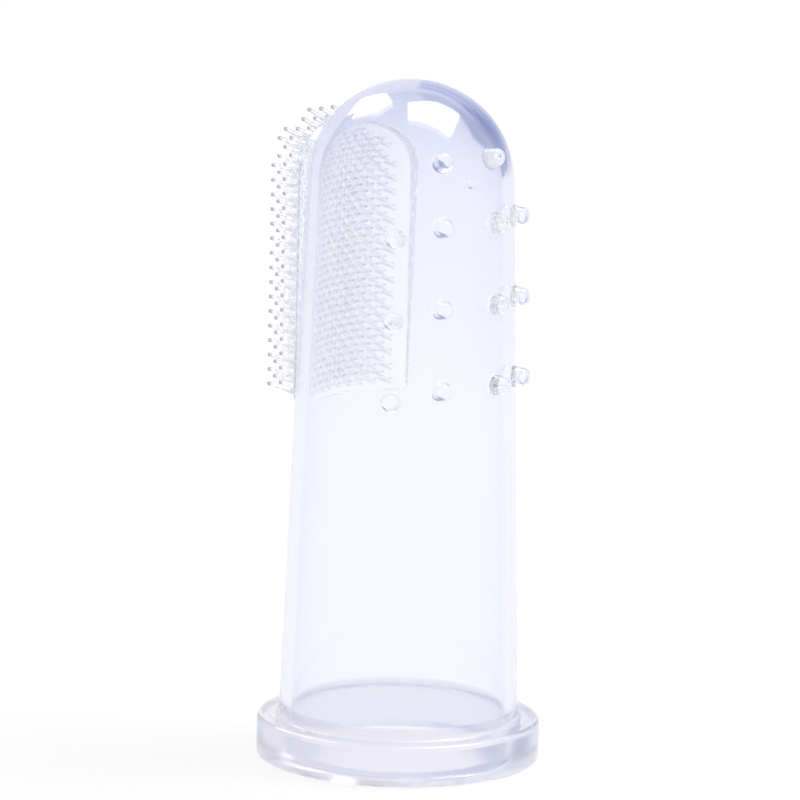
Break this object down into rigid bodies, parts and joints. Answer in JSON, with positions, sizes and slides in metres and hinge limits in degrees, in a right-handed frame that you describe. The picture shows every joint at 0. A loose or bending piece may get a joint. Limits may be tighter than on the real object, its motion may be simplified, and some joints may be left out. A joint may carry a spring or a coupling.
{
  "type": "pet toothbrush",
  "caption": "Clear flexible finger sleeve with a domed tip and a thick ring round its mouth, an arched pad of fine bristles on the front and small rounded nubs on the back.",
  "frame": {"origin": "centre of the mouth ring's underside, on the sleeve's axis", "axes": "+Z along the sleeve from the open mouth to the domed tip, +Y out of the bristle pad, -Y towards the nubs"},
  "size_m": [0.0256, 0.0256, 0.062],
  "materials": {
    "clear_silicone": "clear moulded silicone, glossy, with a faint cool tint"
  },
  "bodies": {
    "root": {"sleeve_wall": "clear_silicone", "tip_dome": "clear_silicone", "mouth_ring": "clear_silicone", "pad_border": "clear_silicone", "lower_bristles": "clear_silicone", "middle_bristles": "clear_silicone", "upper_bristles": "clear_silicone", "tip_bristles": "clear_silicone", "left_outer_nubs": "clear_silicone", "left_inner_nubs": "clear_silicone", "right_inner_nubs": "clear_silicone", "right_outer_nubs": "clear_silicone", "dome_nubs": "clear_silicone", "gate_mark": "clear_silicone"}
  },
  "joints": []
}
